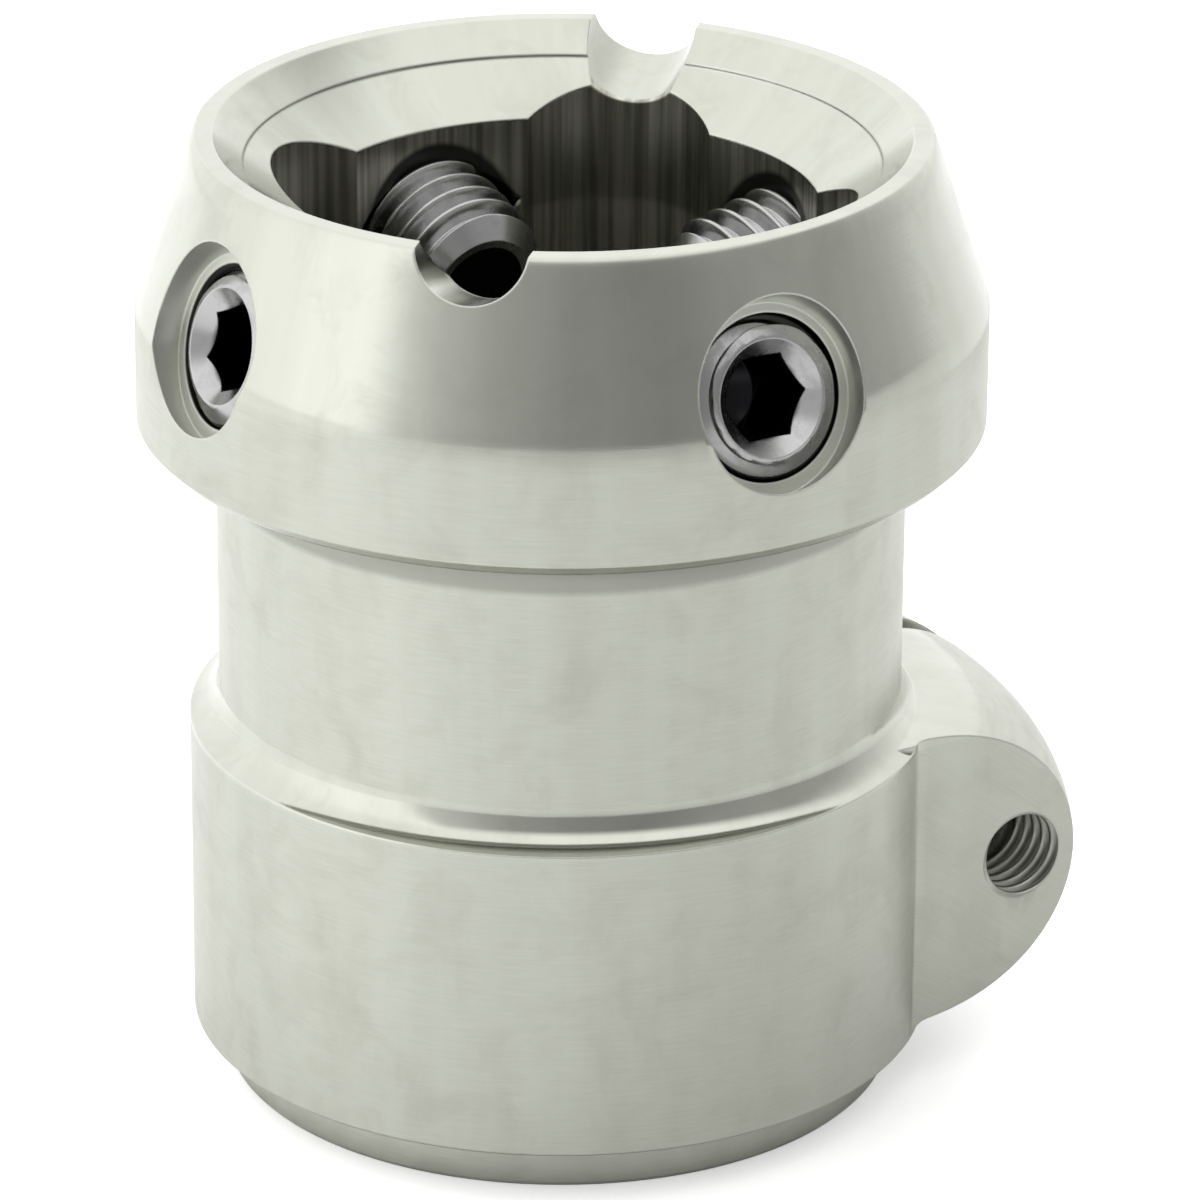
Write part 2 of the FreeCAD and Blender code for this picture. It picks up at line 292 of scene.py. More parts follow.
def lathe(name, points, segments, matrix=None):
    """Solid of revolution about Z, from an outline that starts and ends on the axis or a closed ring."""
    bm = bmesh.new()
    closed = points[0][0] > 0 and points[-1][0] > 0
    rings = []
    for r, z in points:
        if r <= 0:
            rings.append([bm.verts.new((0, 0, z))] * segments)
            continue
        turn = [2 * math.pi * k / segments for k in range(segments)]
        rings.append([bm.verts.new((r * math.cos(t), r * math.sin(t), z)) for t in turn])
    pairs = list(zip(rings, rings[1:])) + ([(rings[-1], rings[0])] if closed else [])
    for low, high in pairs:
        for k in range(segments):
            corners = [low[k], low[(k + 1) % segments], high[(k + 1) % segments], high[k]]
            bm.faces.new(list(dict.fromkeys(corners)))
    return finish_bmesh(bm, name, matrix)


def prism(name, outline, low, high, matrix=None):
    """Straight column over a closed outline of (x, y) points."""
    bm = bmesh.new()
    bottom = bm.faces.new([bm.verts.new((x, y, low)) for x, y in outline])
    made = bmesh.ops.extrude_face_region(bm, geom=[bottom])
    top = [v for v in made["geom"] if isinstance(v, bmesh.types.BMVert)]
    bmesh.ops.translate(bm, verts=top, vec=(0, 0, high - low))
    return finish_bmesh(bm, name, matrix)


def rod(name, radius, low, high, segments=96, matrix=None):
    """Round cutter along Z between two heights."""
    return lathe(name, [(0, low), (radius, low), (radius, high), (0, high)], segments, matrix)


def along(direction, origin):
    """Matrix that turns +Z to a direction and moves the origin to a point."""
    return Matrix.Translation(origin) @ Vector(direction).to_track_quat("Z", "Y").to_matrix().to_4x4()


def combine(target, operation, *tools):
    """Joins, cuts or intersects the target with each tool in turn, and deletes the tools."""
    for tool in tools:
        modifier = target.modifiers.new(operation, "BOOLEAN")
        modifier.operation = operation
        modifier.solver = "MANIFOLD"
        modifier.object = tool
        old = target.data
        target.data = bpy.data.meshes.new_from_object(
            target.evaluated_get(bpy.context.evaluated_depsgraph_get())
        )
        target.modifiers.clear()
        bpy.data.meshes.remove(old)
        remove(tool)
    return target


def smooth(made, sharp=28.0):
    """Smooth shading with the real edges kept sharp."""
    made.data.shade_smooth()
    made.data.set_sharp_from_angle(angle=math.radians(sharp))


# ---- geometry nodes --------------------------------------------------------------------
class Tree:
    """A node tree with short ways to add nodes, links and sums."""

    def __init__(self, tree):
        self.tree = tree

    def node(self, kind, values=None, **settings):
        made = self.tree.nodes.new(kind)
        for key, value in settings.items():
            setattr(made, key, value)
        for key, value in (values or {}).items():
            self.put(made.inputs[key], value)
        return made

    def put(self, socket, value):
        if isinstance(value, bpy.types.NodeSocket):
            self.tree.links.new(value, socket)
        else:
            socket.default_value = value

    def math(self, operation, *values):
        made = self.tree.nodes.new("ShaderNodeMath")
        made.operation = operation
        for socket, value in zip(made.inputs, values):
            self.put(socket, value)
        return made.outputs[0]

    def from_axis(self, parts):
        """Distance from the Z axis, from separate coordinates."""
        x, y = parts["X"], parts["Y"]
        return self.math("SQRT", self.math("ADD", self.math("MULTIPLY", x, x), self.math("MULTIPLY", y, y)))

    def socket(self, name, kind, way="INPUT", default=None):
        made = self.tree.interface.new_socket(name=name, in_out=way, socket_type=kind)
        if default is not None:
            made.default_value = default
        return made


def threaded_rod_tree():
    """Rod along -Z from the origin with a rolled right-hand thread and 45 degree ends."""
    t = Tree(bpy.data.node_groups.new("Threaded Rod", "GeometryNodeTree"))
    t.socket("Geometry", "NodeSocketGeometry", "OUTPUT")
    sizes = ("Length", "Pitch", "Crest Radius", "Root Radius", "Top Radius", "Top Flare", "Point Radius")
    for name in sizes:
        t.socket(name, "NodeSocketFloat")
    t.socket("Segments", "NodeSocketInt")
    t.socket("Rows per Turn", "NodeSocketInt")
    t.socket("Material", "NodeSocketMaterial")
    given = t.node("NodeGroupInput").outputs

    turns = t.math("ADD", t.math("CEIL", t.math("DIVIDE", given["Length"], given["Pitch"])), 1.0)
    columns = t.math("ADD", given["Segments"], 1.0)
    rows = t.math("ADD", t.math("MULTIPLY", turns, given["Rows per Turn"]), 1.0)
    grid = t.node(
        "GeometryNodeMeshGrid",
        {"Size X": 1.0, "Size Y": 1.0, "Vertices X": columns, "Vertices Y": rows},
    )
    place = t.node("ShaderNodeSeparateXYZ", {"Vector": t.node("GeometryNodeInputPosition").outputs[0]})
    turn = t.math("ADD", place.outputs["X"], 0.5)
    row = t.math("MULTIPLY", t.math("ADD", place.outputs["Y"], 0.5), turns)

    depth = t.math("MULTIPLY", t.math("SUBTRACT", row, turn), given["Pitch"])
    depth = t.math("MINIMUM", t.math("MAXIMUM", depth, 0.0), given["Length"])
    wave = t.math("COSINE", t.math("MULTIPLY", row, 2 * math.pi))
    share = t.math("SUBTRACT", 0.42, t.math("MULTIPLY", wave, 0.62))
    share = t.math("MINIMUM", t.math("MAXIMUM", share, 0.0), 1.0)
    rise = t.math("SUBTRACT", given["Crest Radius"], given["Root Radius"])
    thread = t.math("ADD", given["Root Radius"], t.math("MULTIPLY", rise, share))
    top = t.math("ADD", given["Top Radius"], t.math("MULTIPLY", depth, given["Top Flare"]))
    point = t.math("ADD", given["Point Radius"], t.math("SUBTRACT", given["Length"], depth))
    radius = t.math("MINIMUM", thread, t.math("MINIMUM", top, point))

    around = t.math("MULTIPLY", turn, 2 * math.pi)
    x = t.math("MULTIPLY", radius, t.math("COSINE", around))
    y = t.math("MULTIPLY", radius, t.math("SINE", around))
    where = t.node("ShaderNodeCombineXYZ", {"X": x, "Y": y, "Z": t.math("MULTIPLY", depth, -1.0)})
    wall = t.node(
        "GeometryNodeSetPosition", {"Geometry": grid.outputs["Mesh"], "Position": where.outputs[0]}
    )
    wall = t.node("GeometryNodeFlipFaces", {"Mesh": wall.outputs[0]})

    caps = []
    for end_radius, end_depth in ((given["Top Radius"], 0.0), (given["Point Radius"], given["Length"])):
        disc = t.node(
            "GeometryNodeMeshCircle",
            {"Vertices": given["Segments"], "Radius": end_radius},
            fill_type="NGON",
        )
        drop = t.node("ShaderNodeCombineXYZ", {"Z": t.math("MULTIPLY", end_depth, -1.0)})
        moved = t.node(
            "GeometryNodeTransform", {"Geometry": disc.outputs[0], "Translation": drop.outputs[0]}
        )
        caps.append(moved.outputs[0])
    point_cap = t.node("GeometryNodeFlipFaces", {"Mesh": caps[1]}).outputs[0]
    joined = t.node("GeometryNodeJoinGeometry")
    for part in (wall.outputs[0], caps[0], point_cap):
        t.tree.links.new(part, joined.inputs[0])
    merged = t.node("GeometryNodeMergeByDistance", {"Geometry": joined.outputs[0], "Distance": 2e-7})
    real = t.node("GeometryNodeRealizeInstances", {"Geometry": merged.outputs[0]})
    coated = t.node(
        "GeometryNodeSetMaterial", {"Geometry": real.outputs[0], "Material": given["Material"]}
    )
    t.node("NodeGroupOutput", {"Geometry": coated.outputs[0]})
    return t.tree


def from_tree(name, tree, values, matrix=None):
    """Runs a geometry tree with the given named inputs and keeps the result as a plain mesh."""
    made = new_object(name, bpy.data.meshes.new(name))
    modifier = made.modifiers.new("Nodes", "NODES")
    modifier.node_group = tree
    for item in tree.interface.items_tree:
        if item.item_type == "SOCKET" and item.in_out == "INPUT" and item.name in values:
            modifier[item.identifier] = values[item.name]
    old = made.data
    made.data = bpy.data.meshes.new_from_object(
        made.evaluated_get(bpy.context.evaluated_depsgraph_get())
    )
    made.modifiers.clear()
    bpy.data.meshes.remove(old)
    made.data.name = name
    bm = bmesh.new()
    bm.from_mesh(made.data)
    bmesh.ops.remove_doubles(bm, verts=bm.verts, dist=2e-7)
    bmesh.ops.dissolve_degenerate(bm, edges=bm.edges, dist=1e-8)
    bmesh.ops.recalc_face_normals(bm, faces=bm.faces)
    bm.to_mesh(made.data)
    bm.free()
    if matrix is not None:
        made.data.transform(matrix)
    return made


# ---- shader groups ---------------------------------------------------------------------
def edge_wear_group():
    """Bright mask along worn edges, and the shading normal that rounds them."""
    t = Tree(bpy.data.node_groups.new("Edge Wear", "ShaderNodeTree"))
    t.socket("Radius", "NodeSocketFloat", default=0.0002)
    t.socket("Mask", "NodeSocketFloat", "OUTPUT")
    t.socket("Normal", "NodeSocketVector", "OUTPUT")
    given = t.node("NodeGroupInput").outputs
    rounded = t.node("ShaderNodeBevel", {"Radius": given["Radius"]}, samples=6)
    plain = t.node("ShaderNodeNewGeometry").outputs["Normal"]
    same = t.node("ShaderNodeVectorMath", operation="DOT_PRODUCT")
    t.tree.links.new(rounded.outputs[0], same.inputs[0])
    t.tree.links.new(plain, same.inputs[1])
    mask = t.math("MULTIPLY", t.math("SUBTRACT", 1.0, same.outputs["Value"]), 6.0)
    mask = t.math("MINIMUM", t.math("MAXIMUM", mask, 0.0), 1.0)
    t.node("NodeGroupOutput", {"Mask": mask, "Normal": rounded.outputs[0]})
    return t.tree


def lathe_grain_group():
    """Fine turning marks that run round Z, as a height from 0 to 1."""
    t = Tree(bpy.data.node_groups.new("Lathe Grain", "ShaderNodeTree"))
    t.socket("Vector", "NodeSocketVector")
    t.socket("Spacing", "NodeSocketFloat", default=0.00005)
    t.socket("Height", "NodeSocketFloat", "OUTPUT")
    given = t.node("NodeGroupInput").outputs
    parts = t.node("ShaderNodeSeparateXYZ", {"Vector": given["Vector"]}).outputs
    run = t.math("DIVIDE", t.math("ADD", parts["Z"], t.from_axis(parts)), given["Spacing"])
    around = t.math("MULTIPLY", t.math("ARCTAN2", parts["Y"], parts["X"]), 7.0)
    where = t.node("ShaderNodeCombineXYZ", {"X": run, "Y": around, "Z": 0.0})
    noise = t.node(
        "ShaderNodeTexNoise", {"Vector": where.outputs[0], "Scale": 1.0, "Detail": 2.0, "Roughness": 0.6}
    )
    t.node("NodeGroupOutput", {"Height": noise.outputs[0]})
    return t.tree


def streak_group():
    """Soft streaks that run up and down a turned wall, from 0 to 1."""
    t = Tree(bpy.data.node_groups.new("Streaks", "ShaderNodeTree"))
    t.socket("Vector", "NodeSocketVector")
    t.socket("Count", "NodeSocketFloat", default=12.0)
    t.socket("Streak", "NodeSocketFloat", "OUTPUT")
    given = t.node("NodeGroupInput").outputs
    parts = t.node("ShaderNodeSeparateXYZ", {"Vector": given["Vector"]}).outputs
    around = t.math("MULTIPLY", t.math("ARCTAN2", parts["Y"], parts["X"]), given["Count"])
    where = t.node("ShaderNodeCombineXYZ", {"X": around, "Y": t.math("MULTIPLY", parts["Z"], 40.0)})
    noise = t.node("ShaderNodeTexNoise", {"Vector": where.outputs[0], "Scale": 1.0, "Detail": 3.0})
    t.node("NodeGroupOutput", {"Streak": noise.outputs[0]})
    return t.tree


def smudge_group():
    """Soft patchy mask such as handling leaves on bare metal."""
    t = Tree(bpy.data.node_groups.new("Smudges", "ShaderNodeTree"))
    t.socket("Vector", "NodeSocketVector")
    t.socket("Scale", "NodeSocketFloat", default=200.0)
    t.socket("Mask", "NodeSocketFloat", "OUTPUT")
    given = t.node("NodeGroupInput").outputs
    noise = t.node(
        "ShaderNodeTexNoise",
        {"Vector": given["Vector"], "Scale": given["Scale"], "Detail": 5.0, "Roughness": 0.65,
         "Distortion": 0.6},
    )
    mask = t.node(
        "ShaderNodeMapRange", {"Value": noise.outputs[0], "From Min": 0.48, "From Max": 0.75}
    )
    t.node("NodeGroupOutput", {"Mask": mask.outputs[0]})
    return t.tree


def screw_fold_group():
    """Distance from the nearest set screw's axis, and height outward from its socket end."""
    s = bpy.context.scene.adapter_set
    t = Tree(bpy.data.node_groups.new("Screw Fold", "ShaderNodeTree"))
    t.socket("Vector", "NodeSocketVector")
    t.socket("Distance", "NodeSocketFloat", "OUTPUT")
    t.socket("Outward", "NodeSocketFloat", "OUTPUT")
    given = t.node("NodeGroupInput").outputs
    parts = t.node("ShaderNodeSeparateXYZ", {"Vector": given["Vector"]}).outputs
    x, y = t.math("ABSOLUTE", parts["X"]), t.math("ABSOLUTE", parts["Y"])
    far = t.math("SUBTRACT", t.math("MAXIMUM", x, y), s.end_radius)
    near = t.math("MINIMUM", x, y)
    high = t.math("SUBTRACT", parts["Z"], s.end_height)
    cos, sin = math.cos(s.tilt), math.sin(s.tilt)
    outward = t.math("ADD", t.math("MULTIPLY", far, cos), t.math("MULTIPLY", high, sin))
    across = t.math("SUBTRACT", t.math("MULTIPLY", high, cos), t.math("MULTIPLY", far, sin))
    squares = t.math("ADD", t.math("MULTIPLY", across, across), t.math("MULTIPLY", near, near))
    t.node("NodeGroupOutput", {"Distance": t.math("SQRT", squares), "Outward": outward})
    return t.tree


def step(t, value, low, high):
    """Smooth rise from 0 to 1 between two values, or fall if they are swapped."""
    rising = low < high
    made = t.node(
        "ShaderNodeMapRange",
        {"Value": value, "From Min": min(low, high), "From Max": max(low, high),
         "To Min": 0.0 if rising else 1.0, "To Max": 1.0 if rising else 0.0},
        interpolation_type="SMOOTHSTEP",
    )
    return made.outputs[0]


SHARED = {}


def shared(name, make):
    """A node group that is built once and used by every material that needs it."""
    if name not in SHARED:
        SHARED[name] = make()
    return SHARED[name]


def group(t, name, make, values):
    """Places a shared shader group in a material."""
    made = t.node("ShaderNodeGroup", node_tree=shared(name, make))
    for key, value in values.items():
        t.put(made.inputs[key], value)
    return made.outputs


def mix_colour(t, share, first, second):
    """Colour mixed from first to second by a share."""
    made = t.node("ShaderNodeMix", data_type="RGBA")
    t.put(made.inputs["Factor"], share)
    t.put(made.inputs[6], first)
    t.put(made.inputs[7], second)
    return made.outputs[2]


def bands(t, value, stops):
    """A value that follows (place, level) stops along another value."""
    ramp = t.node("ShaderNodeValToRGB", {"Fac": value})
    ramp.color_ramp.interpolation = "LINEAR"
    elements = ramp.color_ramp.elements
    while len(elements) > 1:
        elements.remove(elements[-1])
    elements[0].position = stops[0][0]
    elements[0].color = (stops[0][1],) * 3 + (1,)
    for place, level in stops[1:]:
        elements.new(place).color = (level,) * 3 + (1,)
    return ramp.outputs[0]


def bare_material(name, metallic):
    """A material with its principled shader and object coordinates."""
    made = bpy.data.materials.new(name)
    made.use_nodes = True
    made.node_tree.nodes.clear()
    t = Tree(made.node_tree)
    shader = t.node("ShaderNodeBsdfPrincipled", {"Metallic": metallic})
    output = t.node("ShaderNodeOutputMaterial")
    t.tree.links.new(shader.outputs[0], output.inputs[0])
    place = t.node("ShaderNodeTexCoord").outputs["Object"]
    return made, t, shader, place


def cavity_mask(t, place, parts):
    """1 on the walls and floor of the receiver cavity, 0 elsewhere."""
    s = bpy.context.scene.adapter_body
    reach = s.lobe_centre + s.lobe_radius
    within = step(t, t.from_axis(parts), reach + 0.3 * MM, reach + 0.1 * MM)
    centre = HEIGHT + math.sqrt(s.seat_radius**2 - s.rim_inner**2) - s.step_drop
    away = t.node("ShaderNodeVectorMath", {0: place}, operation="DISTANCE")
    away.inputs[1].default_value = (0, 0, centre)
    below = step(t, away.outputs["Value"], s.seat_radius + 0.05 * MM, s.seat_radius + 0.15 * MM)
    above = step(t, parts["Z"], s.tube_depth, s.tube_depth + 0.5 * MM)
    return t.math("MULTIPLY", t.math("MULTIPLY", within, below), above)


def counterbore_mask(t, fold, parts):
    """1 on the walls and floors of the set screw counterbores, 0 elsewhere."""
    s = bpy.context.scene.adapter_body
    slope = (s.collar_radius - s.rim_radius) / (HEIGHT - s.cone_bottom)
    rise = t.math("MAXIMUM", t.math("SUBTRACT", parts["Z"], s.cone_bottom), 0.0)
    wall = t.math("SUBTRACT", s.collar_radius, t.math("MULTIPLY", rise, slope))
    radius = t.from_axis(parts)
    behind = step(t, t.math("SUBTRACT", wall, radius), 0.06 * MM, 0.14 * MM)
    outer = step(t, radius, s.rim_inner + 0.05 * MM, s.rim_inner + 0.25 * MM)
    near = step(t, fold["Distance"], 6.6 * MM, 6.4 * MM)
    return t.math("MULTIPLY", t.math("MULTIPLY", behind, outer), near)


def body_levels(t, parts, sizes, finish):
    """Roughness by height: satin bands, brighter hollows, polished cone and seat."""
    satin, polish = finish.satin, finish.polish
    shoulder, hollow = finish.shoulder, finish.collar_hollow
    blur = 0.004
    low, high = sizes.clamp_top / HEIGHT, sizes.cone_bottom / HEIGHT
    waist = (sizes.clamp_top + sizes.shoulder_radius) / HEIGHT
    neck = (sizes.collar_bottom - sizes.neck_radius) / HEIGHT
    collar = sizes.collar_bottom / HEIGHT
    return bands(t, t.math("DIVIDE", parts["Z"], HEIGHT), [
        (0.0, satin), (low - blur, satin), (low, shoulder), (waist - blur, shoulder), (waist, satin),
        (neck, satin), (neck + blur, hollow), (collar, hollow), (collar + blur, satin),
        (high - 0.001, satin), (high, polish), (1.0, polish),
    ])


def neck_painted_shade_mask(t, parts, sizes):
    """Painted shade: 1 in the upper part of the hollow under the collar, 0 elsewhere."""
    top = sizes.collar_bottom
    above = step(t, parts["Z"], top - 2.7 * MM, top - 2.2 * MM)
    below = step(t, parts["Z"], top + 0.15 * MM, top + 0.05 * MM)
    return t.math("MULTIPLY", above, below)


def recess_colour_and_hole_shade(t, place, inside, tapped, fold, finish):
    """Dark cavity walls with upright tool marks, and painted shade, darker still, in the tapped holes and
    in a ring round each of them.
    """
    lines = group(t, "streak", streak_group, {"Vector": place, "Count": 26.0})["Streak"]
    made = mix_colour(t, step(t, lines, 0.34, 0.7), (*finish.recess, 1), (*finish.recess_line, 1))
    # painted shadow ring round each set screw where it enters the cavity wall
    ring = t.math("MULTIPLY", inside, step(t, fold["Distance"], 4.9 * MM, 4.5 * MM))
    return mix_colour(t, t.math("MAXIMUM", ring, tapped), made, (*finish.hole, 1))


def body_metal():
    """Turned stainless body: satin bands, polished cone and hollows, darker rough cavity, painted shade in
    the tapped holes and under the collar.
    """
    sizes, finish = bpy.context.scene.adapter_body, bpy.context.scene.adapter_finish
    made, t, shader, place = bare_material("turned_body_metal", 1.0)
    parts = t.node("ShaderNodeSeparateXYZ", {"Vector": place}).outputs
    wear = group(t, "wear", edge_wear_group, {"Radius": 0.18 * MM})
    grain = group(t, "grain", lathe_grain_group, {"Vector": place, "Spacing": 0.12 * MM})["Height"]
    smudge = group(t, "smudge", smudge_group, {"Vector": place, "Scale": 260.0})["Mask"]
    streak = group(t, "streak", streak_group, {"Vector": place, "Count": 9.0})["Streak"]
    fold = group(t, "fold", screw_fold_group, {"Vector": place})
    level = body_levels(t, parts, sizes, finish)

    inside = cavity_mask(t, place, parts)
    bored = counterbore_mask(t, fold, parts)
    # painted shade inside the tapped holes, below their mouths
    tapped = t.math("MULTIPLY", step(t, fold["Distance"], 4.2 * MM, 4.1 * MM),
                    step(t, fold["Outward"], -0.35 * MM, -0.55 * MM))

    marks = t.math("MULTIPLY", t.math("SUBTRACT", grain, 0.5), 0.08)
    roughness = t.math("ADD", t.math("ADD", level, marks), t.math("MULTIPLY", smudge, 0.05))
    roughness = t.math("ADD", roughness, t.math("MULTIPLY", t.math("MAXIMUM", inside, bored), 0.2))

    stain = (*finish.stain, 1)
    base = mix_colour(t, t.math("MULTIPLY", smudge, finish.smudges), (*finish.metal, 1), stain)
    brushed = t.math("MULTIPLY", step(t, level, 0.2, 0.3), t.math("SUBTRACT", grain, 0.45))
    upright = t.math("MULTIPLY", t.math("SUBTRACT", streak, 0.35), finish.streaks)
    tone = t.math("ADD", upright, t.math("MULTIPLY", brushed, finish.brushing))
    base = mix_colour(t, t.math("MAXIMUM", tone, 0.0), base, stain)
    base = mix_colour(t, t.math("MULTIPLY", bored, 0.6), base, (*finish.counterbore, 1))
    base = mix_colour(t, t.math("MULTIPLY", wear["Mask"], 0.5), base, (*finish.edge, 1))
    recess = recess_colour_and_hole_shade(t, place, inside, tapped, fold, finish)
    base = mix_colour(t, t.math("MAXIMUM", inside, tapped), base, recess)
    # painted shade in the upper part of the hollow under the collar
    base = mix_colour(t, t.math("MULTIPLY", neck_painted_shade_mask(t, parts, sizes), 0.8), base, (*finish.neck, 1))

    bump = t.node(
        "ShaderNodeBump",
        {"Height": grain, "Normal": wear["Normal"], "Strength": 0.08, "Distance": 0.02 * MM},
    )
    t.put(shader.inputs["Base Color"], base)
    t.put(shader.inputs["Roughness"], roughness)
    t.put(shader.inputs["Normal"], bump.outputs[0])
    shader.inputs["Anisotropic"].default_value = 0.6
    tangent = t.node("ShaderNodeTangent", direction_type="RADIAL", axis="Z")
    t.put(shader.inputs["Tangent"], tangent.outputs[0])
    return made


def set_screw_painted_shade_mask(t, place, fold):
    """Painted shade: 1 inside the set screws' sockets and on the crests in the gap round them, 0 elsewhere.
    """
    socket = t.math("MULTIPLY", step(t, fold["Distance"], 2.36 * MM, 2.3 * MM),
                    step(t, fold["Outward"], -0.7 * MM, -0.95 * MM))
    rim = t.math("MULTIPLY", step(t, fold["Distance"], 3.78 * MM, 3.86 * MM),
                 step(t, fold["Outward"], -0.34 * MM, -0.42 * MM))
    rim = t.math("MULTIPLY", rim, step(t, fold["Outward"], -6.5 * MM, -5.5 * MM))
    height = t.node("ShaderNodeSeparateXYZ", {"Vector": place}).outputs["Z"]
    upper = step(t, height, HEIGHT / 2, HEIGHT / 2 + MM)
    return t.math("MULTIPLY", t.math("MAXIMUM", socket, rim), upper)


def screw_steel():
    """Bright rolled steel of the screws, with painted shade in the set screws' sockets and on their crests
    in the gap round them.
    """
    finish = bpy.context.scene.adapter_finish
    made, t, shader, place = bare_material("bright_screw_steel", 1.0)
    wear = group(t, "wear", edge_wear_group, {"Radius": 0.1 * MM})
    smudge = group(t, "smudge", smudge_group, {"Vector": place, "Scale": 700.0})["Mask"]
    fold = group(t, "fold", screw_fold_group, {"Vector": place})
    base = mix_colour(t, t.math("MULTIPLY", smudge, 0.4), (*finish.steel, 1), (*finish.steel_stain, 1))
    base = mix_colour(t, t.math("MULTIPLY", wear["Mask"], 0.4), base, (*finish.steel_edge, 1))
    # painted shade in the sockets and on the crests in the gap round the set screws
    base = mix_colour(t, set_screw_painted_shade_mask(t, place, fold), base, (*finish.gap, 1))
    t.put(shader.inputs["Base Color"], base)
    t.put(shader.inputs["Roughness"], t.math("ADD", t.math("MULTIPLY", smudge, 0.15), 0.22))
    t.put(shader.inputs["Normal"], wear["Normal"])
    return made


MATERIALS = {}


def material(name, make):
    """A material that is built once and shared by like pieces."""
    if name not in MATERIALS:
        MATERIALS[name] = make()
    return MATERIALS[name]


def coat(made, chosen):
    """Gives the whole piece one material."""
    made.data.materials.clear()
    made.data.materials.append(chosen)
    made.data.polygons.foreach_set("material_index", [0] * len(made.data.polygons))


# ---- places ----------------------------------------------------------------------------
def set_screw_place(side):
    """Matrix of a set screw's space: socket end at the origin, facing +Z."""
    s = bpy.context.scene.adapter_set
    lean = Matrix.Rotation(math.pi / 2 - s.tilt, 4, "Y")
    out = Matrix.Translation((s.end_radius, 0, s.end_height))
    return Matrix.Rotation(math.radians(SET_SIDES[side]), 4, "Z") @ out @ lean


def clamp_screw_place():
    """Matrix of the clamp screw's space: head seat at the origin, head towards +Z."""
    c, lug = bpy.context.scene.adapter_clamp, bpy.context.scene.adapter_lug
    return Matrix.Translation((c.offset, c.seat, lug.height)) @ Matrix.Rotation(-math.pi / 2, 4, "X")


def thread_cutter(name, sizes, start, total, matrix):
    """Rod that cuts a tapped hole in phase with the screw, from a whole number of turns above it."""
    gap = 0.05 * MM
    values = {
        "Length": total, "Pitch": sizes.pitch, "Crest Radius": sizes.crest + gap,
        "Root Radius": sizes.root + 2.5 * gap, "Top Radius": sizes.root, "Top Flare": 1.0,
        "Point Radius": sizes.root, "Segments": 96, "Rows per Turn": 12,
    }
    place = matrix @ Matrix.Translation((0, 0, start))
    return from_tree(name, shared("rod", threaded_rod_tree), values, place)


# ---- body ------------------------------------------------------------------------------
def outside_outline(s):
    """Outline of the turned outside, from the base up the wall to the rim."""
    shoulder = (s.waist_radius + s.shoulder_radius, s.clamp_top + s.shoulder_radius)
    lean = math.degrees(math.acos((shoulder[0] - s.clamp_radius) / s.shoulder_radius))
    neck = (s.waist_radius + s.neck_radius, s.collar_bottom - s.neck_radius)
    points = [(0, 0), (s.tube_radius * 0.9, 0), (s.foot_radius - s.edge, 0), (s.foot_radius, s.edge)]
    points += [(s.foot_radius, s.foot_height), (s.clamp_radius - s.edge / 2, s.foot_height)]
    points += [(s.clamp_radius, s.foot_height + s.edge / 2)]
    points += arc(shoulder, s.shoulder_radius, 180 + lean, 180, 16)
    points += arc(neck, s.neck_radius, 180, 90, 20)
    points += [(s.collar_radius - s.collar_bevel, s.collar_bottom)]
    points += [(s.collar_radius, s.collar_bottom + s.collar_bevel), (s.collar_radius, s.cone_bottom)]
    points += [(s.rim_radius, HEIGHT - s.edge), (s.rim_radius - s.edge, HEIGHT), (0, HEIGHT)]
    return spread(points, 1.2 * MM)


def inside_outline(s):
    """Outline of what is bored out: tube bore, web hole, cavity and dished seat."""
    over = 1.0 * MM
    centre = HEIGHT + math.sqrt(s.seat_radius**2 - s.rim_inner**2)
    deep = centre - s.step_drop

    def dish(radius):
        """Angle round the seat's sphere at a distance from the axis."""
        return -math.degrees(math.acos(radius / s.seat_radius))

    points = [(0, -over), (s.tube_radius + 2 * s.edge + over, -over), (s.tube_radius, 2 * s.edge)]
    points += [(s.tube_radius, s.tube_depth), (s.web_radius, s.tube_depth)]
    points += [(s.web_radius, s.cavity_floor), (s.cavity_radius, s.cavity_floor)]
    points += arc((0, deep), s.seat_radius, dish(s.cavity_radius), dish(s.step_radius), 12)
    outer_end = math.sqrt(s.seat_radius**2 - (centre - HEIGHT - over) ** 2)
    points += arc((0, centre), s.seat_radius, dish(s.step_radius), dish(outer_end), 10)
    points += [(0, HEIGHT + over)]
    return spread(points, 1.5 * MM)


def lug_solid(s, lug):
    """Ring section between the two flats, with hollow blends to the clamp wall."""
    reach, under_x = lug.section_radius + lug.under, s.clamp_radius + lug.under
    under_z = lug.height - math.sqrt(reach**2 - (under_x - lug.ring_radius) ** 2)
    down = math.degrees(math.atan2(under_z - lug.height, under_x - lug.ring_radius))
    outline = [(lug.core, under_z)] + arc((under_x, under_z), lug.under, 180, 180 + down, 12)
    outline += arc((lug.ring_radius, lug.height), lug.section_radius, down, 90, 64)[1:]
    outline += [(lug.core, lug.height + lug.section_radius)]
    ring = lathe("lug", spread(outline, 1.2 * MM), s.segments)
    blend_y = lug.half_width + lug.fillet
    blend_x = math.sqrt((s.clamp_radius + lug.fillet) ** 2 - blend_y**2)
    touch = math.degrees(math.atan2(-blend_y, -blend_x))
    side = arc((blend_x, blend_y), lug.fillet, -90, touch, 16)
    reach = 40 * MM
    inner = 6 * MM
    plan = [(reach, lug.half_width)] + side + [(inner, side[-1][1])]
    plan += [(x, -y) for x, y in reversed(plan)]
    return combine(ring, "INTERSECT", prism("column", plan, 0, HEIGHT))


